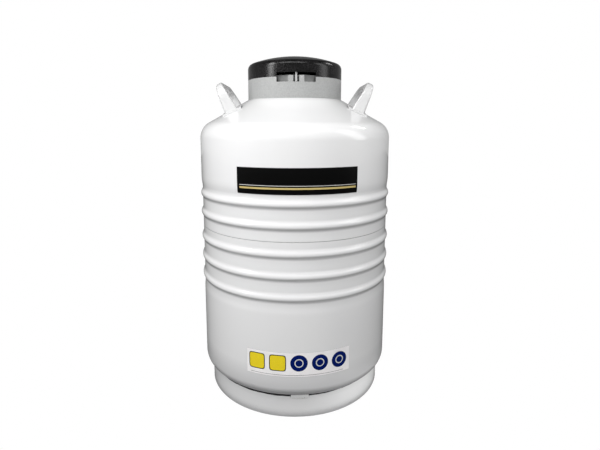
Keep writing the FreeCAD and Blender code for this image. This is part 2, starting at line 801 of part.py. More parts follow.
def make_vacuum_port():
    """The pump-out tube under the bottom head, its plug and its cap."""
    radius = cell("port_radius")
    bore = radius - cell("port_wall")
    low = cell("port_low")
    head = cell("body_foot") - cell("head_drop")
    top = head + shell_wall + cell("port_inside")
    tube = turned_body("vacuum_port_tube", rectangle(bore, radius, low, top))
    plug = turned_body("vacuum_port_plug", [
        (ON_AXIS, low),
        (bore - seat_gap, low),
        (bore - seat_gap, low + cell("port_plug_length")),
        (ON_AXIS, low + cell("port_plug_length")),
    ])
    wall = cell("port_cap_wall")
    inner = radius + seat_gap
    cap_low = low - wall
    cap_top = cap_low + cell("port_cap_height")
    cap = turned_body("vacuum_port_cap", [
        (ON_AXIS, cap_low),
        (inner + wall, cap_low),
        (inner + wall, cap_top),
        (inner, cap_top),
        (inner, low),
        (ON_AXIS, low),
    ])
    return [tube, plug, cap]


def make_collar():
    """The grey moulded collar: skirt, rim, upper ring, deck, lock pocket and lock lugs."""
    wall = cell("collar_wall")
    spigot_inner = cell("spigot_inner")
    web = cell("web_height")
    leg = spigot_inner + wall
    skirt = collar_radius - wall
    body = turned_body("neck_collar", [
        (cell("deck_bore"), deck_low),
        (spigot_inner, deck_low),
        (spigot_inner, shoulder_height(spigot_inner) + seat_gap),
        (leg, shoulder_height(leg) + seat_gap),
        (leg, web),
        (skirt, web),
        (skirt, shoulder_height(skirt) + seat_gap),
        (collar_radius, shoulder_height(collar_radius) + seat_gap),
        (collar_radius, cell("collar_top")),
        (spigot_outer, cell("collar_top")),
        (spigot_outer, spigot_top),
        (spigot_inner, spigot_top),
        (spigot_inner, deck_top),
        (cell("deck_bore"), deck_top),
    ])
    middle = cell("lock_offset")
    half = cell("pocket_width") / 2
    floor = cell("pocket_floor")
    depth = spigot_top - floor
    back = cell("pocket_back")
    front = -(collar_radius + wall)
    reach = root(back * back - (half + middle) * (half + middle))
    reach_left = root(back * back - (half - middle) * (half - middle))
    pocket_sketch = new_sketch(body, "lock_pocket_outline", "XY_Plane", floor)
    draw(pocket_sketch, [
        (middle - half, front),
        (middle + half, front),
        (middle + half, -reach),
        Bend(back, RIGHT),
        (middle - half, -reach_left),
    ])
    pocket(body, pocket_sketch, "lock_pocket", depth, reverse=True)
    lug_back = back - wall / 2
    for name, near, far in (
        ("lock_lug_left", -cell("lug_width") / 2, -cell("lug_slot") / 2),
        ("lock_lug_right", cell("lug_slot") / 2, cell("lug_width") / 2),
    ):
        sketch = new_sketch(body, f"{name}_outline", "XY_Plane", floor)
        outline = rectangle(middle + near, middle + far, -cell("lug_front"), -lug_back)
        draw(sketch, outline)
        pad(body, sketch, name, cell("lug_top") - floor)
    eye_sketch = new_sketch(body, "lock_eye_circle", "YZ_Plane", middle)
    draw_circle(eye_sketch, -cell("eye_distance"), cell("eye_height"), cell("eye_radius"))
    pocket(body, eye_sketch, "lock_eye", cell("lug_width") + wall, symmetric=True)
    cut_screw_holes(body, "deck_hole", deck_low)
    return body


def make_index_ring():
    """The notched ring round the mouth that keeps the canister rods apart."""
    top = deck_top + cell("index_height")
    body = turned_body(
        "index_ring",
        rectangle(cell("index_inner"), cell("index_outer"), deck_top, top),
    )
    notch_half = cell("rod_radius") + cell("notch_gap")
    sketch = new_sketch(body, "notch_outline", "XY_Plane", top - cell("notch_depth"))
    inner = cell("index_inner") - cell("rod_radius")
    outer = cell("index_outer") + cell("rod_radius")
    draw(sketch, rectangle(inner, outer, -notch_half, notch_half))
    notch = pocket(body, sketch, "notch", cell("notch_depth"), reverse=True)
    repeat_round(body, notch, "notches", cell("canister_count"))
    turn_body(body, cell("canister_start"))
    return body


canister_low = cell("tank_floor") + cell("tank_wall") + cell("blanket_gap")
canister_step = as_size(360) / cell("canister_count")


def make_canisters():
    """Open tubes with a drained floor that hold the samples."""
    radius = cell("canister_radius")
    wall = cell("canister_wall")
    top = canister_low + cell("canister_height")
    circle = cell("canister_circle")
    canisters = []
    for number in range(count("canister_count")):
        body = turned_body(f"canister_{number + 1}", [
            (cell("drain_radius"), canister_low),
            (radius, canister_low),
            (radius, top),
            (radius - wall, top),
            (radius - wall, canister_low + wall),
            (cell("drain_radius"), canister_low + wall),
        ])
        angle = cell("canister_start") + canister_step * number
        bind(body, "Placement.Base.x", circle * cosine(angle))
        bind(body, "Placement.Base.y", circle * sine(angle))
        canisters.append(body)
    return canisters


def make_canister_rods():
    """Long rods beside the canisters, bent over the index ring and turned down."""
    radius = cell("rod_radius")
    bend = cell("rod_bend")
    line = cell("canister_circle") - cell("canister_radius") - radius - seat_gap
    low = canister_low + cell("canister_height") - cell("rod_overlap")
    level = deck_top + cell("index_height") - cell("notch_depth") + radius + seat_gap
    reach = cell("rod_reach")
    rods = []
    for number in range(count("canister_count")):
        body = new_body(f"canister_rod_{number + 1}")
        path = new_sketch(body, "rod_path", "XZ_Plane")
        draw(path, [
            (line, low),
            (line, level - bend),
            Bend(bend, RIGHT),
            (line + bend, level),
            (reach - radius * 2, level),
            Bend(radius * 2, RIGHT),
            (reach, level - radius * 2),
            (reach, level - cell("rod_hook_drop")),
        ], closed=False)
        section = new_sketch(body, "rod_section", "XY_Plane", low)
        draw_circle(section, line, 0, radius)
        rod = body.newObject("PartDesign::AdditivePipe", "rod")
        rod.Profile = section
        rod.Spine = path
        body.Tip = rod
        turn_body(body, cell("canister_start") + canister_step * number)
        rods.append(body)
    return rods


def make_locator():
    """The pan with round openings that keeps the canisters in their circle."""
    outer = cell("locator_radius")
    wall = cell("locator_wall")
    low = cell("tank_floor") + cell("tank_wall")
    top = low + cell("locator_height")
    body = turned_body("canister_locator", [
        (outer - wall, low),
        (outer, low),
        (outer, top),
        (ON_AXIS, top),
        (ON_AXIS, top - wall),
        (outer - wall, top - wall),
    ])
    sketch = new_sketch(body, "seat_circle", "XY_Plane", top - wall)
    draw_circle(sketch, cell("canister_circle"), 0, cell("canister_radius") + cell("locator_gap"))
    seat = pocket(body, sketch, "seat", wall, reverse=True)
    repeat_round(body, seat, "seats", cell("canister_count"))
    turn_body(body, cell("canister_start"))
    return body


def dome_height(radius, inset):
    """Height of the lid's dome at a radius, on a surface inset inside the outer one."""
    dome = cell("lid_dome")
    own = dome - inset
    return cell("lid_apex") - dome + root(own * own - radius * radius)


def make_lid():
    """The black lid: skirt and dome with boss and ribs under it, window and tongue socket."""
    wall = cell("lid_wall")
    inside = collar_radius - wall
    dome = cell("lid_dome")
    rim = cell("collar_top")
    boss = cell("boss_radius")
    bore = cell("boss_bore")
    boss_low = cell("disc_low") + cell("disc_thickness")
    body = turned_body("lid_cap", [
        (inside, rim),
        (collar_radius, rim),
        (collar_radius, dome_height(collar_radius, as_size(0))),
        Bend(dome, LEFT),
        (ON_AXIS, cell("lid_apex")),
        (ON_AXIS, cell("lid_apex") - wall),
        Bend(dome - wall, RIGHT),
        (bore, dome_height(bore, wall)),
        (bore, boss_low),
        (boss, boss_low),
        (boss, dome_height(boss, wall)),
        Bend(dome - wall, RIGHT),
        (inside, dome_height(inside, wall)),
    ])
    corner = dome_height(collar_radius, as_size(0))
    round_edges(body, "lid_outside", cell("lid_round"), ring_at(collar_radius, corner))
    inner_corner = dome_height(inside, wall)
    round_edges(body, "lid_inside", cell("lid_round") - wall, ring_at(inside, inner_corner))
    rib_low = cell("lid_rib_low")
    rib_end = inside + wall / 2
    rib_mid = collar_radius - cell("lid_round")
    rib_start = boss - wall / 2
    bottom_end = corner - cell("lid_round")
    rib_sketch = new_sketch(body, "lid_rib_outline", "XZ_Plane")
    draw(rib_sketch, [
        (rib_start, rib_low),
        (inside - wall, rib_low),
        (rib_end, rib_low + wall),
        (rib_end, bottom_end),
        (rib_mid, dome_height(rib_mid, wall / 2)),
        Bend(dome - wall / 2, LEFT),
        (rib_start, dome_height(rib_start, wall / 2)),
    ])
    rib = pad(body, rib_sketch, "lid_rib", cell("lid_rib_width"), symmetric=True)
    repeat_round(body, rib, "lid_ribs", cell("lid_rib_count"))
    middle = cell("lock_offset")
    half = cell("pocket_width") / 2
    window_sketch = new_sketch(body, "lock_window_outline", "XZ_Plane", cell("spigot_inner"))
    draw(window_sketch, rectangle(middle - half, middle + half, rim - wall, cell("window_top")))
    pocket(body, window_sketch, "lock_window", collar_radius, reverse=True)
    socket_low = cell("socket_low")
    socket_half = cell("socket_width") / 2
    back = cell("lug_front") - cell("tongue_width")
    socket_sketch = new_sketch(body, "tongue_socket_outline", "XY_Plane", socket_low)
    draw(socket_sketch, rectangle(
        middle - socket_half, middle + socket_half, -(inside + wall / 3), -(back - wall)))
    pad(body, socket_sketch, "tongue_socket", cell("socket_height"))
    slot_half = cell("tongue_thickness") / 2 + seat_gap
    slot_sketch = new_sketch(body, "tongue_slot_outline", "XY_Plane", socket_low)
    draw(slot_sketch, rectangle(
        middle - slot_half,
        middle + slot_half,
        -(cell("lug_front") + seat_gap),
        -(back - seat_gap),
    ))
    slot_depth = cell("tongue_top") + seat_gap - socket_low
    pocket(body, slot_sketch, "tongue_slot", slot_depth, reverse=True)
    return body


def make_plug():
    """The disc under the lid and the foam plug that fills the neck."""
    low = cell("disc_low")
    disc = turned_body("plug_disc", [
        (ON_AXIS, low),
        (cell("disc_radius"), low),
        (cell("disc_radius"), low + cell("disc_thickness")),
        (ON_AXIS, low + cell("disc_thickness")),
    ])
    radius = cell("plug_radius")
    plug = turned_body("neck_plug", [
        (ON_AXIS, low - cell("plug_length")),
        (radius, low - cell("plug_length")),
        (radius, low),
        (ON_AXIS, low),
    ])
    return [disc, plug]


def make_tongue():
    """The steel tongue of the lid that stands between the lock lugs, with its padlock eye."""
    body = new_body("lock_tongue")
    front = -cell("lug_front")
    low = cell("tongue_low")
    sketch = new_sketch(body, "tongue_outline", "YZ_Plane", cell("lock_offset"))
    draw(sketch, rectangle(front, front + cell("tongue_width"), low, cell("tongue_top")))
    draw_circle(sketch, -cell("eye_distance"), cell("eye_height"), cell("eye_radius"))
    pad(body, sketch, "tongue", cell("tongue_thickness"), symmetric=True)

    def lower_corner(edge):
        box = edge.BoundBox
        return box.ZLength < 0.01 and box.YLength < 0.01 and abs(box.ZMin - low.number) < 0.01

    round_edges(body, "tongue_corners", cell("tongue_thickness") / 2, lower_corner)
    return body


def make_handles():
    """Two cast arch handles that stand square to the shoulder, the left one mirrored."""
    height = cell("handle_height")
    span = cell("handle_span") / 2
    leg = cell("handle_leg")
    bend = cell("handle_bend")
    depth = cell("handle_root")
    far_foot = cell("handle_far_foot")
    arch = new_body("handle_arch")
    sketch = new_sketch(arch, "arch_outline", "YZ_Plane")
    inner = span - leg
    inner_bend = bend - leg
    draw(sketch, [
        (-span, -depth),
        (-inner, -depth),
        (-inner, height - leg - inner_bend),
        Bend(inner_bend, RIGHT),
        (-inner + inner_bend, height - leg),
        (inner - inner_bend, height - leg),
        Bend(inner_bend, RIGHT),
        (inner, height - leg - inner_bend),
        (inner, -depth),
        (span, -depth),
        (span, height - bend),
        Bend(bend, LEFT),
        (span - bend, height),
        (-span + bend, height),
        Bend(bend, LEFT),
        (-span, height - bend),
    ])
    pad(arch, sketch, "arch", far_foot * 2, symmetric=True)
    tapers = (
        ("far_taper", far_foot, cell("handle_far_top"), 1),
        ("near_taper", cell("handle_near_foot"), cell("handle_near_top"), -1),
    )
    for name, wide, narrow, side in tapers:
        taper_sketch = new_sketch(arch, f"{name}_outline", "XZ_Plane")
        beyond = (far_foot + leg) * side
        draw(taper_sketch, [
            (wide * side, -depth),
            (beyond, -depth),
            (beyond, height + leg),
            (narrow * side, height + leg),
            (narrow * side, height),
        ])
        pocket(arch, taper_sketch, name, span * 3, symmetric=True)

    def long_edge(edge):
        box = edge.BoundBox
        return box.XLength < leg.number and box.ZMax > 0 and box.YLength + box.ZLength > leg.number

    round_edges(arch, "arch_edges", cell("handle_edge"), long_edge)
    arch.Placement = FreeCAD.Placement(
        FreeCAD.Vector(), FreeCAD.Rotation(FreeCAD.Vector(0, 1, 0), 10))
    bind(arch, "Placement.Rotation.Angle", slope)
    bind(arch, "Placement.Base.x", cell("handle_distance"))
    bind(arch, "Placement.Base.z", shoulder_height(cell("handle_distance")))

    lift = cell("pad_thickness") / cosine(slope)
    cones = []
    for name, raised in (("shoulder_form", seat_gap), ("pad_form", lift)):
        cone = doc.addObject("Part::Cone", name)
        bind(cone, "Radius1", body_radius)
        bind(cone, "Radius2", cell("neck_seat_radius"))
        bind(cone, "Height", neck_seat - shoulder_corner)
        bind(cone, "Placement.Base.z", shoulder_corner + raised)
        cones.append(cone)
    shoulder, pad_form = cones
    margin = cell("pad_margin")
    blocks = []
    for side, name in ((-1, "front_pad_block"), (1, "back_pad_block")):
        block = doc.addObject("Part::Box", name)
        start = -span - margin if side < 0 else inner - margin
        bind(block, "Length", cell("pad_far") - cell("pad_near"))
        bind(block, "Width", leg + margin * 2)
        bind(block, "Height", height)
        bind(block, "Placement.Base.x", cell("pad_near"))
        bind(block, "Placement.Base.y", start)
        bind(block, "Placement.Base.z", shoulder_corner)
        blocks.append(block)
    both = doc.addObject("Part::MultiFuse", "pad_blocks")
    both.Shapes = blocks
    pads = doc.addObject("Part::MultiCommon", "foot_pads")
    pads.Shapes = [both, pad_form]
    whole = doc.addObject("Part::MultiFuse", "handle_whole")
    whole.Shapes = [arch, pads]
    right = doc.addObject("Part::Cut", "handle_right")
    right.Base = whole
    right.Tool = shoulder
    left = doc.addObject("Part::Mirroring", "handle_left")
    left.Source = right
    left.Base = FreeCAD.Vector(0, 0, 0)
    left.Normal = FreeCAD.Vector(1, 0, 0)
    for handle in (right, left):
        handle.Label = handle.Name
    return [right, left]


def make_stickers():
    """The dark band high on the front and the pale strip low on the front."""
    under = seat_gap
    over = seat_gap + cell("label_thickness")
    band = upper_step(-over)[2:] + [(body_radius + over, band_high)]
    band += [(body_radius + under, band_high)] + downwards(upper_step(-under)[2:])
    strip = rectangle(lower_radius + under, lower_radius + over, cell("strip_low"), cell("strip_high"))
    stickers = []
    for label, part, outline in (("front_band", "band", band), ("lower_strip", "strip", strip)):
        body = turned_body(label, outline, cell(f"{part}_sweep"))
        turn_body(body, cell(f"{part}_start") - 90)
        stickers.append(body)
    return stickers


def write_parts(pieces):
    """Checks every object and every piece, then writes one file for each piece."""
    doc.recompute()
    for thing in doc.Objects:
        if "Invalid" in thing.State or "Error" in thing.State:
            raise RuntimeError(f"{thing.Label} failed: {thing.State}")
    for piece in pieces:
        if piece.Shape.isNull() or not piece.Shape.isValid():
            raise RuntimeError(f"{piece.Label} has no valid shape")
        if piece.Shape.Volume <= 0:
            raise RuntimeError(f"{piece.Label} has no volume")
    os.makedirs("parts", exist_ok=True)
    for piece in pieces:
        piece.Shape.exportStep(f"parts/{piece.Label}.step")
        box = piece.Shape.BoundBox
        print(
            f"{piece.Label:22s} {len(piece.Shape.Solids)} solid(s)"
            f" x {box.XMin:8.1f} {box.XMax:8.1f} y {box.YMin:8.1f} {box.YMax:8.1f}"
            f" z {box.ZMin:7.1f} {box.ZMax:7.1f} volume {piece.Shape.Volume / 1000:9.2f} cm3"
        )


pieces = [make_upper_shell(), make_lower_shell(), make_base_ring()]
pieces += make_base_clips()
pieces += make_tank()
pieces += make_neck()
pieces += make_insulation()
pieces += make_vacuum_port()
pieces += [make_collar(), make_collar_screws(), make_index_ring(), make_locator()]
pieces += make_canisters()
pieces += make_canister_rods()
pieces += [make_lid(), make_tongue()]
pieces += make_plug()
pieces += make_handles()
pieces += make_stickers()
write_parts(pieces)
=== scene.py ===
import json
import math

import bpy
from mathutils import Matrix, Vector
from mathutils.bvhtree import BVHTree


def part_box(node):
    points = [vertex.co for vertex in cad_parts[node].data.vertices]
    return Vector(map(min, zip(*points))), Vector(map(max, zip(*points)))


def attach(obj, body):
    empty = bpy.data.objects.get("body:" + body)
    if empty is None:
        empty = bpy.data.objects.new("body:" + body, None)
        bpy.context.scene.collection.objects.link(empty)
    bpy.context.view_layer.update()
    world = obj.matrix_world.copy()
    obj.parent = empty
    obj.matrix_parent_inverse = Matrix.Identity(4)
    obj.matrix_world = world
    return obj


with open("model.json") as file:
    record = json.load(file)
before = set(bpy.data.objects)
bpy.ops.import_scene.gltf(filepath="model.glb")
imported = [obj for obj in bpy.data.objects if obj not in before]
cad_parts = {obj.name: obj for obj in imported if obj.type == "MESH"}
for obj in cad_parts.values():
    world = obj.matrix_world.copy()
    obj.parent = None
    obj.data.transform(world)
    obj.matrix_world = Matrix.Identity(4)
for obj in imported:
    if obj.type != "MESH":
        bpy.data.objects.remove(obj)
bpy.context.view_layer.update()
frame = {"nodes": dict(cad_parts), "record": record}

# The storage vessel in a white studio. Metres, in the frame of the model: +Z up, z = 0 on
# the floor, the lock and the stickers towards -Y.

nodes = frame["nodes"]

CAMERA_DISTANCE = 0.8775
CAMERA_HEIGHT = 0.5121
CAMERA_TILT = math.radians(90 - 8.33)
SENSOR = 36.0
FOCAL_PIXELS = 436.9
IMAGE_WIDTH = 600
IMAGE_HEIGHT = 450
PRINCIPAL = (294.72, 188.70)


def make_camera():
    """The photograph's view: low, close and tilted a little down."""
    data = bpy.data.cameras.new("camera")
    camera = bpy.data.objects.new("camera", data)
    bpy.context.scene.collection.objects.link(camera)
    data.sensor_width = SENSOR
    data.lens = FOCAL_PIXELS / IMAGE_WIDTH * SENSOR
    data.shift_x = (IMAGE_WIDTH / 2 - PRINCIPAL[0]) / IMAGE_WIDTH
    data.shift_y = (PRINCIPAL[1] - IMAGE_HEIGHT / 2) / IMAGE_WIDTH
    data.clip_start = 0.01
    camera.location = (0, -CAMERA_DISTANCE, CAMERA_HEIGHT)
    camera.rotation_euler = (CAMERA_TILT, 0, 0)
    bpy.context.scene.camera = camera


# Materials

# Dark grey: the colour of the painted shade on the white coat, and the ink of the rule on the lower strip.
SHADE_AND_INK_GREY = (0.20, 0.20, 0.21)

# A painted shade: two values of what is measured, then how much of the shade grey is painted at each of
# them.
LOW_WALL_SHADE = (0.050, 0.100, 0.45, 0.0)
UNDERSIDE_SHADE = (-0.70, -0.05, 0.60, 0.0)
CREASE_SHADE = (0.30, 0.95, 1.0, 0.0)
CREASE_REACH = 0.016

# Most of a noise lies between these two values.
NOISE_LOW = 0.3
NOISE_HIGH = 0.7


def grey(tone):
    return (tone, tone, tone)


def scaled(color, share):
    return tuple(channel * share for channel in color)


class Finish:
    """A material under construction: one Principled shader and what feeds it."""

    def __init__(self, name, color, roughness, **sockets):
        self.material = bpy.data.materials.new(name)
        self.material.use_nodes = True
        self.tree = self.material.node_tree
        self.shader = self.tree.nodes["Principled BSDF"]
        self.shader.inputs["Base Color"].default_value = (*color, 1.0)
        self.shader.inputs["Roughness"].default_value = roughness
        for socket, value in sockets.items():
            self.shader.inputs[socket.replace("_", " ")].default_value = value
        self.place = self.add("ShaderNodeTexCoord").outputs["Object"]
        self.normal = None

    def add(self, kind, **settings):
        node = self.tree.nodes.new(kind)
        for key, value in settings.items():
            setattr(node, key, value)
        return node

    def link(self, output, entry):
        self.tree.links.new(output, entry)

    def noise(self, size, detail=2.0, stretch=(1, 1, 1), roughness=0.5):
        """Noise whose features are about size metres across."""
        mapping = self.add("ShaderNodeMapping")
        mapping.inputs["Scale"].default_value = stretch
        self.link(self.place, mapping.inputs["Vector"])
        node = self.add("ShaderNodeTexNoise")
        node.inputs["Scale"].default_value = 1.0 / size
        node.inputs["Detail"].default_value = detail
        node.inputs["Roughness"].default_value = roughness
        self.link(mapping.outputs["Vector"], node.inputs["Vector"])
        return node.outputs["Fac"]

    def hollows(self, reach):
        """1 on open faces, less where something stands within reach metres."""
        node = self.add("ShaderNodeAmbientOcclusion", samples=8)
        node.inputs["Distance"].default_value = reach
        return node.outputs["AO"]

    def upright_part(self, vector):
        """The Z of a vector."""
        split = self.add("ShaderNodeSeparateXYZ")
        self.link(vector, split.inputs["Vector"])
        return split.outputs["Z"]

    def rise(self):
        """How much a face looks up: 1 on top faces, 0 on upright ones, -1 underneath."""
        return self.upright_part(self.add("ShaderNodeNewGeometry").outputs["Normal"])

    def height(self):
        """How high a point of the piece lies, in metres."""
        return self.upright_part(self.place)

    def remap(self, value, low, high, out_low=0.0, out_high=1.0):
        node = self.add("ShaderNodeMapRange")
        for socket, number in (
            ("From Min", low), ("From Max", high), ("To Min", out_low), ("To Max", out_high),
        ):
            node.inputs[socket].default_value = number
        self.link(value, node.inputs["Value"])
        return node.outputs["Result"]

    def mix(self, factor, first, second):
        """A colour between two colours, each a tuple or another node's output."""
        node = self.add("ShaderNodeMix", data_type="RGBA")
        colours = [socket for socket in node.inputs if socket.type == "RGBA"]
        for socket, colour in zip(colours, (first, second)):
            if isinstance(colour, tuple):
                socket.default_value = (*colour, 1.0)
            else:
                self.link(colour, socket)
        self.link(factor, node.inputs["Factor"])
        return next(socket for socket in node.outputs if socket.type == "RGBA")

    def color(self, output):
        self.link(output, self.shader.inputs["Base Color"])

    def mottle(self, value, first, second, low=NOISE_LOW, high=NOISE_HIGH):
        """Colours the surface from first to second as value goes from low to high."""
        self.color(self.mix(self.remap(value, low, high), first, second))

    def rough(self, value, least, most):
        """Varies the roughness with a noise, between about least and most."""
        spread = self.remap(value, NOISE_LOW, NOISE_HIGH, least, most)
        self.link(spread, self.shader.inputs["Roughness"])

    def bump(self, height, depth, strength):
        """Adds relief: depth is its real height in metres."""
        node = self.add("ShaderNodeBump")
        node.inputs["Strength"].default_value = strength
        node.inputs["Distance"].default_value = depth
        self.link(height, node.inputs["Height"])
        if self.normal is not None:
            self.link(self.normal, node.inputs["Normal"])
        self.normal = node.outputs["Normal"]
        self.link(self.normal, self.shader.inputs["Normal"])


def white_coat(name, tone=0.80, painted_shade=True, foot=False):
    """Gloss white powder coat: a trace of orange peel, and painted shade in the creases and on faces that
    look down.

    With foot it gets greyer towards the lower edge of the wall, as in the photograph.
    """
    finish = Finish(name, grey(tone), 0.45, Coat_Weight=1.0, Coat_Roughness=0.05)
    cloud = finish.noise(0.10)
    dull = (tone * 0.99, tone * 0.99, tone)
    coat = finish.mix(cloud, dull, (tone * 1.015, tone * 1.015, tone * 1.01))
    if foot:
        # Painted shade: the wall turns greyer towards its lower edge.
        painted_foot_shade = finish.remap(finish.height(), *LOW_WALL_SHADE)
        coat = finish.mix(painted_foot_shade, coat, SHADE_AND_INK_GREY)
    if painted_shade:
        # Painted shade on faces that look down.
        painted_underside = finish.remap(finish.rise(), *UNDERSIDE_SHADE)
        coat = finish.mix(painted_underside, coat, SHADE_AND_INK_GREY)
        # Painted shade in the creases, where something stands close.
        painted_crease_shade = finish.remap(finish.hollows(CREASE_REACH), *CREASE_SHADE)
        coat = finish.mix(painted_crease_shade, coat, SHADE_AND_INK_GREY)
    finish.color(coat)
    finish.rough(finish.noise(0.03, detail=3.0), 0.40, 0.50)
    finish.bump(finish.noise(0.0030), 0.00003, 0.30)
    return finish.material


def grey_moulding():
    """Mid grey moulded plastic with a fine even grain, and painted shade, near black, in its narrow slots.
    """
    finish = Finish("grey_moulding", grey(0.38), 0.5, Specular_IOR_Level=0.3)
    speck = finish.noise(0.0024, detail=4.0, roughness=0.75)
    grain = finish.mix(finish.remap(speck, 0.35, 0.65), (0.335, 0.340, 0.338), (0.410, 0.414, 0.410))
    # Painted shade: near black where the walls of a slot stand close.
    painted_slot_shade = finish.remap(finish.hollows(0.007), 0.10, 0.62, 1.0, 0.0)
    finish.color(finish.mix(painted_slot_shade, grain, (0.012, 0.012, 0.013)))
    finish.rough(finish.noise(0.01), 0.42, 0.56)
    finish.bump(speck, 0.00012, 0.5)
    return finish.material


def black_moulding():
    """Black moulded plastic, satin, with a fine grain that sparkles in the light, and painted sparkle:
    lighter flecks in its colour, in patches.
    """
    finish = Finish("black_moulding", grey(0.006), 0.2, Specular_IOR_Level=0.27)
    grain = finish.noise(0.0020, detail=4.0, roughness=0.8)
    # Painted sparkle: where the patches lie, the grain's peaks are coloured lighter, standing in for a
    # sheen.
    sparkle_patches = finish.remap(finish.noise(0.030), 0.40, 0.65, 0.15, 0.85)
    quiet = finish.mix(grain, grey(0.001), grey(0.008))
    painted_sparkle = finish.mix(finish.remap(grain, 0.46, 0.66), grey(0.002), (0.042, 0.040, 0.042))
    finish.color(finish.mix(sparkle_patches, quiet, painted_sparkle))
    finish.rough(grain, 0.12, 0.28)
    finish.bump(grain, 0.00018, 0.5)
    return finish.material


def brushed_steel():
    """Bright steel, brushed upright."""
    finish = Finish("brushed_steel", grey(0.82), 0.25, Metallic=0.55)
    streak = finish.noise(0.0006, stretch=(1, 1, 0.05))
    finish.rough(streak, 0.18, 0.36)
    finish.bump(streak, 0.00002, 0.5)
    return finish.material


def mill_aluminium():
    """Bare rolled aluminium."""
    finish = Finish("mill_aluminium", (0.72, 0.73, 0.74), 0.38, Metallic=1.0)
    roll = finish.noise(0.002, detail=3.0, stretch=(1, 1, 0.08))
    finish.rough(roll, 0.30, 0.48)
    finish.bump(roll, 0.00003, 0.6)
    return finish.material


def fibreglass():
    """A laminated tube: the wraps run round it."""
    finish = Finish("fibreglass", (0.50, 0.46, 0.26), 0.35)
    wrap = finish.noise(0.0015, detail=3.0, stretch=(1, 1, 6))
    finish.mottle(wrap, (0.42, 0.39, 0.20), (0.60, 0.56, 0.36))
    finish.bump(wrap, 0.00005, 0.6)
    return finish.material


def foam():
    """Closed cell foam."""
    finish = Finish("foam", (0.80, 0.80, 0.76), 0.85)
    cell = finish.noise(0.0012, detail=4.0, roughness=0.7)
    finish.mottle(cell, (0.66, 0.66, 0.62), (0.86, 0.86, 0.82))
    finish.bump(cell, 0.0003, 0.9)
    return finish.material


def foil():
    """Crinkled foil wrap."""
    finish = Finish("foil", (0.82, 0.82, 0.83), 0.22, Metallic=1.0)
    finish.bump(finish.noise(0.012, detail=5.0, roughness=0.7), 0.002, 0.8)
    return finish.material


def cloth_bag():
    """A woven bag of granules."""
    finish = Finish("cloth_bag", (0.70, 0.66, 0.54), 0.9)
    weave = finish.noise(0.0008)
    finish.color(finish.mix(weave, (0.62, 0.58, 0.46), (0.76, 0.72, 0.60)))
    finish.bump(weave, 0.0001, 0.8)
    return finish.material


def film(name, color, roughness, gloss):
    """Printed film: smooth, with a slight ripple where it was rubbed down."""
    finish = Finish(name, color, roughness, Coat_Weight=gloss, Coat_Roughness=0.1, Specular_IOR_Level=gloss)
    finish.mottle(finish.noise(0.02, detail=3.0), scaled(color, 0.9), color)
    finish.bump(finish.noise(0.008), 0.00005, 0.5)
    return finish.material


def ink(name, color, gloss=0.3):
    """Printing ink: even, with a faint grain of the screen."""
    finish = Finish(name, color, 0.38, Coat_Weight=gloss, Coat_Roughness=0.15, Specular_IOR_Level=gloss)
    grain = finish.noise(0.0009)
    finish.mottle(grain, scaled(color, 0.82), color)
    finish.bump(grain, 0.00001, 0.4)
    return finish.material


def sealant():
    """Pale sealant, smeared and a little dusty."""
    finish = Finish("sealant", (0.62, 0.62, 0.60), 0.5)
    smear = finish.noise(0.002, detail=3.0)
    finish.mottle(smear, (0.42, 0.42, 0.40), (0.74, 0.74, 0.72))
    finish.bump(smear, 0.0003, 0.8)
    return finish.material


def gap_shadow_black():
    """Painted shadow: the dark of an open joint, with some dust in it."""
    finish = Finish("gap_shadow_black", (0.010, 0.010, 0.011), 0.7)
    dust = finish.noise(0.0015, detail=3.0)
    finish.mottle(dust, grey(0.006), (0.030, 0.030, 0.032), low=0.4)
    finish.bump(dust, 0.0002, 0.8)
    return finish.material


FINISHES = {
    "white_coat": white_coat("white_coat"),
    "bare_aluminium": mill_aluminium(),
    "grey_plastic": grey_moulding(),
    "black_plastic": black_moulding(),
    "steel": brushed_steel(),
    "fibreglass": fibreglass(),
    "foam": foam(),
    "foil": foil(),
    "sorbent": cloth_bag(),
    "dark_film": film("dark_film", grey(0.002), 0.3, 0.12),
    "pale_film": film("pale_film", (0.98, 0.96, 0.965), 0.35, 0.4),
}
# Tone of a darker copy of the white coat for the handles: painted shade over the whole handle.
HANDLE_SHADED_TONE = 0.66


def dress_nodes():
    """Gives every piece of the model the finish of its slot, or one of its own."""
    slots = {part["node"]: part["material_slot"] for part in frame["record"]["subparts"]}
    # The handles wear the darker copy of the white coat, which paints shade on them.
    shaded_handle_coat = white_coat("handle_shaded_coat", HANDLE_SHADED_TONE, painted_shade=False)
    special = {
        "outer_shell_lower": white_coat("foot_coat", foot=True),
        "handle_left": shaded_handle_coat,
        "handle_right": shaded_handle_coat,
    }
    for name, node in nodes.items():
        finish = special.get(name, FINISHES[slots[name]])
        for entry in node.material_slots:
            entry.link = "OBJECT"
            entry.material = finish


# Pieces that the scene adds

def piece(name, corners, faces, finish, body):
    """A smooth piece that rides on a body of the model."""
    mesh = bpy.data.meshes.new(name)
    mesh.from_pydata([tuple(corner) for corner in corners], [], faces)
    mesh.validate()
    for face in mesh.polygons:
        face.use_smooth = True
    mesh.materials.append(finish)
    thing = bpy.data.objects.new(name, mesh)
    bpy.context.scene.collection.objects.link(thing)
    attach(thing, body)
    return thing


def band_faces(columns, rows, closed=False):
    """Faces between points listed column by column. closed joins the last column to the first."""
    faces = []
    for column in range(columns if closed else columns - 1):
        first = column * rows
        after = (column + 1) % columns * rows
        for row in range(rows - 1):
            faces.append((first + row, after + row, after + row + 1, first + row + 1))
    return faces


# Prints on the two stickers

WALL_RADIUS = 0.1835
RAY_START = 0.30
PRINT_LIFT = 0.00008


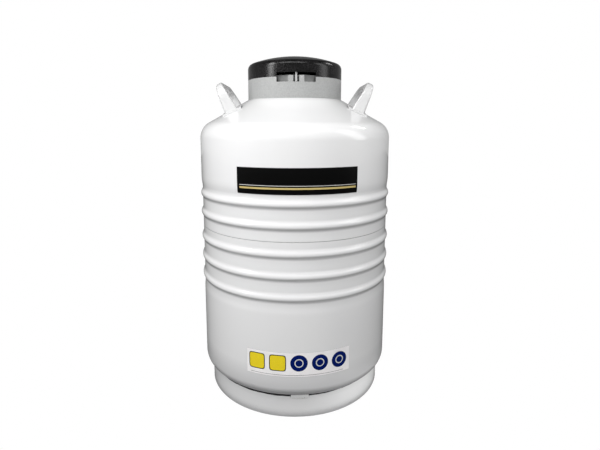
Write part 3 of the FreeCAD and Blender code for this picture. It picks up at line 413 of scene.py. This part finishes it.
def search_tree(name):
    """A search tree over the faces of a piece of the model, in scene coordinates."""
    thing = nodes[name]
    corners = [thing.matrix_world @ vertex.co for vertex in thing.data.vertices]
    faces = [tuple(face.vertices) for face in thing.data.polygons]
    return BVHTree.FromPolygons(corners, faces)


def lay_on(tree, along, height):
    """A point just above a round piece. along is measured round the wall from the front."""
    around = along / WALL_RADIUS
    outward = Vector((math.sin(around), -math.cos(around), 0))
    level = Vector((0, 0, height))
    spot = tree.ray_cast(outward * RAY_START + level, -outward)[0]
    if spot is None:
        spot = outward * WALL_RADIUS + level
    return spot + outward * PRINT_LIFT


def printed_shape(name, under, middle, outline, finish, rings=10):
    """A flat print laid on a sticker: rings that grow from its middle to its outline."""
    tree = search_tree(under)
    corners = [lay_on(tree, *middle)]
    count = len(outline)
    for ring in range(1, rings + 1):
        share = ring / rings
        for along, height in outline:
            spot_along = middle[0] + (along - middle[0]) * share
            spot_height = middle[1] + (height - middle[1]) * share
            corners.append(lay_on(tree, spot_along, spot_height))
    faces = [(0, 1 + step, 1 + (step + 1) % count) for step in range(count)]
    for ring in range(1, rings):
        low = 1 + (ring - 1) * count
        high = low + count
        for step in range(count):
            after = (step + 1) % count
            faces.append((low + step, high + step, high + after, low + after))
    return piece(name, corners, faces, finish, "vessel")


def printed_stripe(name, under, start, end, low, high, finish, steps=120):
    """A stripe round part of the wall."""
    tree = search_tree(under)
    levels = (low, (low + high) / 2, high)
    corners = []
    for step in range(steps + 1):
        along = start + (end - start) * step / steps
        corners += [lay_on(tree, along, height) for height in levels]
    piece(name, corners, band_faces(steps + 1, len(levels)), finish, "vessel")


def lifted(thing, layers=1):
    """Moves an upper print outward so that it lies on the one under it."""
    for vertex in thing.data.vertices:
        outward = Vector((vertex.co.x, vertex.co.y, 0)).normalized()
        vertex.co += outward * (PRINT_LIFT * layers)


def disc_outline(middle, radius, count=40):
    turns = [2 * math.pi * step / count for step in range(count)]
    return [(middle[0] + radius * math.cos(turn), middle[1] + radius * math.sin(turn)) for turn in turns]


def tile_outline(middle, width, height, power=7, count=72):
    """A rectangle with rounded corners."""
    outline = []
    for step in range(count):
        turn = 2 * math.pi * step / count
        across = abs(math.cos(turn) * 2 / width) ** power
        upright = abs(math.sin(turn) * 2 / height) ** power
        reach = (across + upright) ** (-1 / power)
        outline.append((middle[0] + reach * math.cos(turn), middle[1] + reach * math.sin(turn)))
    return outline


# Plain fields stand where the photograph has signs on the lower strip: middle along the
# wall, middle height, and width and height or radius.
TILES = ((-0.0670, 0.1087, 0.0265, 0.0265), (-0.0297, 0.1087, 0.0265, 0.0265))
TILE_EDGE = 0.0015
DISCS = ((0.0073, 0.1093, 0.0150), (0.0440, 0.1085, 0.0145), (0.0800, 0.1078, 0.0145))
EYE_SHARE = 0.52
SPOT_SHARE = 0.40

# Start and end along the wall, lower and upper edge.
STRIP_RULE = (-0.0790, 0.0880, 0.0868, 0.0875)
GOLD_STRIPE = (-0.0955, 0.1075, 0.4085, 0.4115)
PALE_STRIPE = (-0.0955, 0.1075, 0.4140, 0.4149)


def print_tiles():
    """Yellow tiles with a black edge."""
    yellow = ink("ink_yellow", (0.93, 0.73, 0.02))
    black = ink("ink_black", (0.010, 0.010, 0.011), gloss=0.04)
    for number, (along, height, width, rise) in enumerate(TILES, 1):
        middle = (along, height)
        edge = tile_outline(middle, width + 2 * TILE_EDGE, rise + 2 * TILE_EDGE)
        printed_shape(f"tile_edge_{number}", "lower_strip", middle, edge, black)
        field = tile_outline(middle, width, rise)
        lifted(printed_shape(f"tile_{number}", "lower_strip", middle, field, yellow))


def print_discs():
    """Dark blue discs with a pale ring: disc, pale eye on it and blue spot on that."""
    navy = ink("ink_navy", (0.001, 0.010, 0.120), gloss=0.04)
    pale = ink("ink_pale", (0.74, 0.74, 0.72))
    for number, (along, height, radius) in enumerate(DISCS, 1):
        middle = (along, height)
        field = disc_outline(middle, radius)
        printed_shape(f"disc_{number}", "lower_strip", middle, field, navy)
        eye = disc_outline(middle, radius * EYE_SHARE)
        lifted(printed_shape(f"disc_eye_{number}", "lower_strip", middle, eye, pale))
        spot = disc_outline(middle, radius * SPOT_SHARE)
        lifted(printed_shape(f"disc_spot_{number}", "lower_strip", middle, spot, navy), layers=2)
    return pale


def print_labels():
    print_tiles()
    pale = print_discs()
    printed_stripe("strip_rule", "lower_strip", *STRIP_RULE, ink("ink_grey", SHADE_AND_INK_GREY))
    printed_stripe("band_gold", "front_band", *GOLD_STRIPE, ink("ink_gold", (0.66, 0.52, 0.20)))
    printed_stripe("band_pale", "front_band", *PALE_STRIPE, pale)


# The painted shadow in the joint above the base ring

JOINT_RADIUS = 0.1694
JOINT_LOW = 0.0393
JOINT_HIGH = 0.0428
JOINT_STEPS = 360

# How far out each point of the joint's profile lies, and its share of the joint's height.
JOINT_PROFILE = ((0.0007, 0.0), (0.0013, 0.30), (0.0012, 0.75), (-0.0010, 1.0))

# Shares of the joint's full width, and the size and number of each wave round the vessel.
JOINT_OPEN = 1.05
JOINT_CLOSING = 1.10
JOINT_LEAST = 0.50
JOINT_WAVES = ((0.06, 23), (0.04, 61))


def joint_width(turn):
    """How wide the painted shadow in the joint is at a turn from the front: it closes up towards the right.
    """
    front = math.cos(turn)
    right = max(0.0, math.sin(turn))
    closed = right * (0.5 + 0.5 * front)
    ripple = sum(size * math.sin(turn * count) for size, count in JOINT_WAVES)
    return max(JOINT_LEAST, JOINT_OPEN - JOINT_CLOSING * closed) + ripple


def fill_foot_joint():
    """Painted shadow: a dark bead in the joint between the bottom head and the top edge of the base ring.
    """
    corners = []
    for step in range(JOINT_STEPS):
        turn = 2 * math.pi * step / JOINT_STEPS
        depth = (JOINT_HIGH - JOINT_LOW) * joint_width(turn)
        for out, share in JOINT_PROFILE:
            radius = JOINT_RADIUS + out
            height = JOINT_HIGH - depth * (1 - share)
            corners.append((radius * math.sin(turn), -radius * math.cos(turn), height))
    faces = band_faces(JOINT_STEPS, len(JOINT_PROFILE), closed=True)
    piece("foot_joint", corners, faces, gap_shadow_black(), "vessel")


# Sealant at the base clips

CLIPS = (1, 2, 3)
BEAD_CIRCLE = 0.1710
BEAD_LENGTH = 0.0300
BEAD_RADIUS = 0.0009
BEAD_DROP = 0.0002
BEAD_SAG = 0.0004
BEAD_SAG_TURN = 23
BEAD_TAPER = 8
BEAD_TIP = 0.1
BEAD_STEPS = 60
BEAD_SIDES = 10
CLIP_RADIUS = 0.1716

# Size of each wave along the bead, how far it turns from end to end, and how far it is
# shifted from one clip to the next. Angles are in radians.
BEAD_WAVES = ((0.35, 41, 1), (0.25, 97, 0))


def bead_swell(share, number):
    """The bead's radius at a share of its length: uneven, and thin at both ends."""
    uneven = 1 + sum(size * math.sin(share * turn + number * shift) for size, turn, shift in BEAD_WAVES)
    ends = min(1.0, BEAD_TAPER * share + BEAD_TIP, BEAD_TAPER * (1 - share) + BEAD_TIP)
    return BEAD_RADIUS * uneven * ends


def bead_corners(centre, low, number):
    """Rings of points along the bead, from one end to the other."""
    half = BEAD_LENGTH / 2 / CLIP_RADIUS
    corners = []
    for step in range(BEAD_STEPS + 1):
        share = step / BEAD_STEPS
        turn = centre - half + 2 * half * share
        swell = bead_swell(share, number)
        sag = BEAD_SAG * math.sin(share * BEAD_SAG_TURN + number * 2)
        for side in range(BEAD_SIDES):
            angle = 2 * math.pi * side / BEAD_SIDES
            reach = BEAD_CIRCLE + swell * math.cos(angle)
            height = low - BEAD_DROP + sag + swell * math.sin(angle)
            corners.append((reach * math.cos(turn), reach * math.sin(turn), height))
    return corners


def bead_faces():
    """The skin of the bead and its two ends."""
    faces = []
    for step in range(BEAD_STEPS):
        first = step * BEAD_SIDES
        after = first + BEAD_SIDES
        for side in range(BEAD_SIDES):
            beside = (side + 1) % BEAD_SIDES
            faces.append((first + side, first + beside, after + beside, after + side))
    faces.append(tuple(reversed(range(BEAD_SIDES))))
    faces.append(tuple(BEAD_STEPS * BEAD_SIDES + side for side in range(BEAD_SIDES)))
    return faces


def seal_clips():
    """The uneven bead of sealant along the lower edge of each base clip."""
    finish = sealant()
    for number in CLIPS:
        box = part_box(f"base_clip_{number}")
        low = min(box[0][2], box[1][2])
        middle = (Vector(box[0]) + Vector(box[1])) / 2
        centre = math.atan2(middle.y, middle.x)
        corners = bead_corners(centre, low, number)
        piece(f"clip_sealant_{number}", corners, bead_faces(), finish, "vessel")


# Lamps

LIGHT_TARGET = (0, 0, 0.50)
FOOT_TARGET = (0, 0, 0.03)
FULL_SPREAD = math.pi
FOOT_SPREAD = math.radians(20)

# Name, azimuth, elevation, distance, width, height, power and roll of each lamp.
# Azimuth 0 is in front, positive towards +X. Angles are in degrees.
LAMPS = (
    ("front_softbox", -8, 54, 0.90, 0.75, 0.18, 3.0, 0),
    ("front_low", -10, 10, 1.15, 1.40, 0.90, 5.1, 0),
    ("left_strip", -56, 24, 1.00, 0.20, 0.60, 4.4, 0),
    ("right_strip", 68, 20, 1.00, 0.30, 0.80, 2.4, 20),
    ("back_fill", 180, 0, 1.15, 1.20, 0.70, 3.6, 0),
    ("left_glint", -62, 42, 1.00, 0.12, 0.25, 1.1, 0),
    ("right_glint", 100, 40, 1.00, 0.14, 0.25, 1.3, 0),
)
FOOT_LAMP = ("right_foot", 70, 0, 0.50, 0.30, 0.04, 0.030, 0)
UNMIRRORED = ("front_low", "back_fill")
MIRRORED_ONLY = ("left_glint", "right_glint")


def softbox(name, azimuth, elevation, distance, width, height, power, roll, target, spread):
    """An area lamp that stands round the vessel and looks at target."""
    data = bpy.data.lights.new(name, "AREA")
    data.shape = "RECTANGLE"
    data.size = width
    data.size_y = height
    data.energy = power
    data.spread = spread
    lamp = bpy.data.objects.new(name, data)
    bpy.context.scene.collection.objects.link(lamp)
    lamp.visible_camera = False
    lamp.visible_glossy = name not in UNMIRRORED
    lamp.visible_diffuse = name not in MIRRORED_ONLY
    around = math.radians(azimuth)
    up = math.radians(elevation)
    outward = Vector((math.sin(around) * math.cos(up), -math.cos(around) * math.cos(up), math.sin(up)))
    lamp.location = Vector(target) + outward * distance
    lamp.rotation_euler = (-outward).to_track_quat("-Z", "Y").to_euler()
    lamp.rotation_euler.rotate_axis("Z", math.radians(roll))


def make_lights():
    for lamp in LAMPS:
        softbox(*lamp, LIGHT_TARGET, FULL_SPREAD)
    softbox(*FOOT_LAMP, FOOT_TARGET, FOOT_SPREAD)


# World and floor

WHITE = (1, 1, 1, 1)
FILL_LOW = 1.08
FILL_HIGH = 0.16
FILL_TOP = 0.8
FILL_MIRRORED = 0.35
FLOOR_SIZE = 12.0
FLOOR_TONE = 0.14


def shader_node(tree, kind, **values):
    """A node whose sockets of these names hold these values."""
    node = tree.nodes.new(kind)
    for socket, value in values.items():
        node.inputs[socket.replace("_", " ")].default_value = value
    return node


def computed(tree, operation, first, second):
    """What a math node makes of two outputs."""
    node = tree.nodes.new("ShaderNodeMath")
    node.operation = operation
    tree.links.new(first, node.inputs[0])
    tree.links.new(second, node.inputs[1])
    return node.outputs["Value"]


def blended(tree, share, first, second, output_kind):
    """Ends a tree with a blend of two shaders: share 0 is the first, 1 the second."""
    mix = tree.nodes.new("ShaderNodeMixShader")
    output = tree.nodes.new(output_kind)
    tree.links.new(share, mix.inputs["Fac"])
    tree.links.new(first.outputs[0], mix.inputs[1])
    tree.links.new(second.outputs[0], mix.inputs[2])
    tree.links.new(mix.outputs["Shader"], output.inputs["Surface"])


def make_world():
    """White to the camera. What falls on the vessel fades from the horizon up."""
    world = bpy.data.worlds.new("studio")
    bpy.context.scene.world = world
    world.use_nodes = True
    tree = world.node_tree
    tree.nodes.clear()
    seen = shader_node(tree, "ShaderNodeBackground", Color=WHITE, Strength=1.0)
    fill = shader_node(tree, "ShaderNodeBackground", Color=WHITE)
    place = tree.nodes.new("ShaderNodeTexCoord")
    split = tree.nodes.new("ShaderNodeSeparateXYZ")
    tree.links.new(place.outputs["Generated"], split.inputs["Vector"])
    fade = shader_node(tree, "ShaderNodeMapRange", From_Max=FILL_TOP, To_Min=FILL_LOW, To_Max=FILL_HIGH)
    tree.links.new(split.outputs["Z"], fade.inputs["Value"])
    path = tree.nodes.new("ShaderNodeLightPath")
    mirrored = shader_node(tree, "ShaderNodeMapRange", To_Min=1.0, To_Max=FILL_MIRRORED)
    tree.links.new(path.outputs["Is Glossy Ray"], mirrored.inputs["Value"])
    strength = computed(tree, "MULTIPLY", fade.outputs["Result"], mirrored.outputs["Result"])
    tree.links.new(strength, fill.inputs["Strength"])
    direct = computed(tree, "MAXIMUM", path.outputs["Is Camera Ray"], path.outputs["Is Transmission Ray"])
    blended(tree, direct, fill, seen, "ShaderNodeOutputWorld")


def floor_white():
    """Pure white to the camera, as in the photograph, and grey to the light."""
    material = bpy.data.materials.new("floor_white")
    material.use_nodes = True
    tree = material.node_tree
    tree.nodes.clear()
    ground = shader_node(tree, "ShaderNodeBsdfDiffuse", Color=(*grey(FLOOR_TONE), 1))
    glow = shader_node(tree, "ShaderNodeEmission", Color=WHITE, Strength=1.0)
    path = tree.nodes.new("ShaderNodeLightPath")
    blended(tree, path.outputs["Is Camera Ray"], ground, glow, "ShaderNodeOutputMaterial")
    return material


def make_floor():
    half = FLOOR_SIZE / 2
    mesh = bpy.data.meshes.new("floor")
    corners = [(-half, -half, 0), (half, -half, 0), (half, half, 0), (-half, half, 0)]
    mesh.from_pydata(corners, [], [(0, 1, 2, 3)])
    mesh.materials.append(floor_white())
    floor = bpy.data.objects.new("floor", mesh)
    bpy.context.scene.collection.objects.link(floor)


make_camera()
make_world()
make_floor()
make_lights()
dress_nodes()
print_labels()
fill_foot_joint()
seal_clips()
bpy.context.scene.view_settings.view_transform = "Standard"
